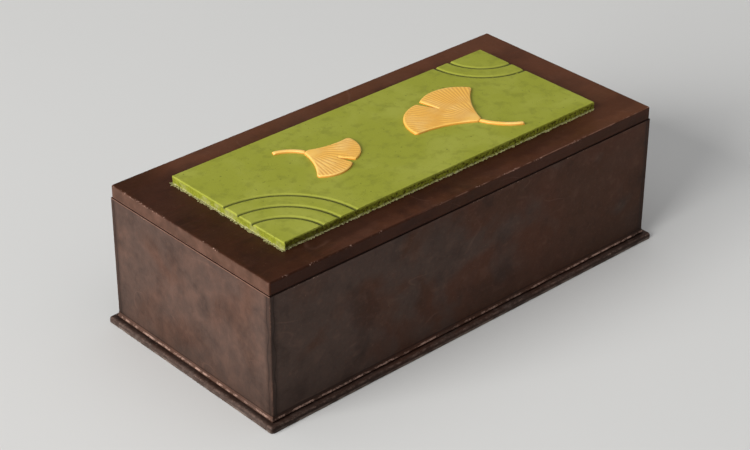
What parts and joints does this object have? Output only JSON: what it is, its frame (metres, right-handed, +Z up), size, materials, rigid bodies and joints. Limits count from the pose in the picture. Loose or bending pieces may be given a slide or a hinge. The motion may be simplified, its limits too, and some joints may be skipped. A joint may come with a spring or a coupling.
{
  "type": "ink box",
  "caption": "Dark rectangular box on a stepped base with a lift-off lid and a raised green panel, holding a brush tray, inkstone, ink stick and water dropper.",
  "frame": {"origin": "middle of the underside of the plinth board", "axes": "+X along the box, +Y across it to the back, +Z up; the long face seen in the picture is -Y and the end seen there is -X"},
  "size_m": [0.2792, 0.1354, 0.0895],
  "materials": {
    "lacquered_board": "board covered in dark brown lacquered paper, semi-matte, light wear at the edges",
    "inner_board": "plain stained board",
    "tray_board": "stained board, satin",
    "lining_paper": "plain tan paper over thin board",
    "felt": "dark red felt",
    "green_panel": "board covered in olive-green paper, waxed",
    "orange_relief": "cut board covered in orange-yellow paper, waxed",
    "slate": "honed black slate",
    "ink": "pressed soot ink, matte",
    "glaze": "pale celadon glaze",
    "bamboo": "polished bamboo",
    "horn": "polished black horn",
    "brush_hair": "goat hair"
  },
  "bodies": {
    "box": {"plinth_board": "lacquered_board", "step_board": "lacquered_board", "front_wall": "lacquered_board", "back_wall": "lacquered_board", "left_wall": "lacquered_board", "right_wall": "lacquered_board", "floor_board": "inner_board", "floor_lining": "felt", "tray_rest_left": "inner_board", "tray_rest_right": "inner_board", "bed_board": "inner_board"},
    "lid": {"lid_board": "lacquered_board", "lid_rim_front": "inner_board", "lid_rim_back": "inner_board", "lid_rim_left": "inner_board", "lid_rim_right": "inner_board", "lid_lining": "lining_paper", "lid_panel": "green_panel", "large_leaf": "orange_relief", "large_stalk": "orange_relief", "small_leaf": "orange_relief", "small_stalk": "orange_relief"},
    "tray": {"tray_base": "tray_board", "tray_wall_front": "tray_board", "tray_wall_back": "tray_board", "tray_wall_left": "tray_board", "tray_wall_right": "tray_board", "tray_divider": "tray_board", "brush_bar_left": "tray_board", "brush_bar_right": "tray_board"},
    "large_brush": {"large_brush_cap": "horn", "large_brush_handle": "bamboo", "large_brush_collar": "horn", "large_brush_hair": "brush_hair"},
    "small_brush": {"small_brush_cap": "horn", "small_brush_handle": "bamboo", "small_brush_collar": "horn", "small_brush_hair": "brush_hair"},
    "inkstone": {"inkstone": "slate"},
    "ink_stick": {"ink_stick": "ink"},
    "water_dropper": {"water_dropper_cup": "glaze", "water_dropper_cover": "glaze"}
  },
  "joints": [
    {"name": "lid_lift", "type": "slide", "parent": "box", "child": "lid", "axis": [0, 0, 1], "range_m": [0, 0.24]},
    {"name": "tray_lift", "type": "slide", "parent": "box", "child": "tray", "axis": [0, 0, 1], "range_m": [0, 0.144]},
    {"name": "large_brush_lift", "type": "slide", "parent": "tray", "child": "large_brush", "axis": [0, 0, 1], "range_m": [0, 0.036]},
    {"name": "small_brush_lift", "type": "slide", "parent": "tray", "child": "small_brush", "axis": [0, 0, 1], "range_m": [0, 0.024]},
    {"name": "inkstone_lift", "type": "slide", "parent": "box", "child": "inkstone", "axis": [0, 0, 1], "range_m": [0, 0.0768]},
    {"name": "ink_stick_lift", "type": "slide", "parent": "box", "child": "ink_stick", "axis": [0, 0, 1], "range_m": [0, 0.0864]},
    {"name": "water_dropper_lift", "type": "slide", "parent": "box", "child": "water_dropper", "axis": [0, 0, 1], "range_m": [0, 0.096]}
  ],
  "couplings": [
    {"joint": "tray_lift", "follows": "lid_lift", "ratio": 0.6},
    {"joint": "large_brush_lift", "follows": "lid_lift", "ratio": 0.15},
    {"joint": "small_brush_lift", "follows": "lid_lift", "ratio": 0.1},
    {"joint": "inkstone_lift", "follows": "lid_lift", "ratio": 0.32},
    {"joint": "ink_stick_lift", "follows": "lid_lift", "ratio": 0.36},
    {"joint": "water_dropper_lift", "follows": "lid_lift", "ratio": 0.4}
  ]
}
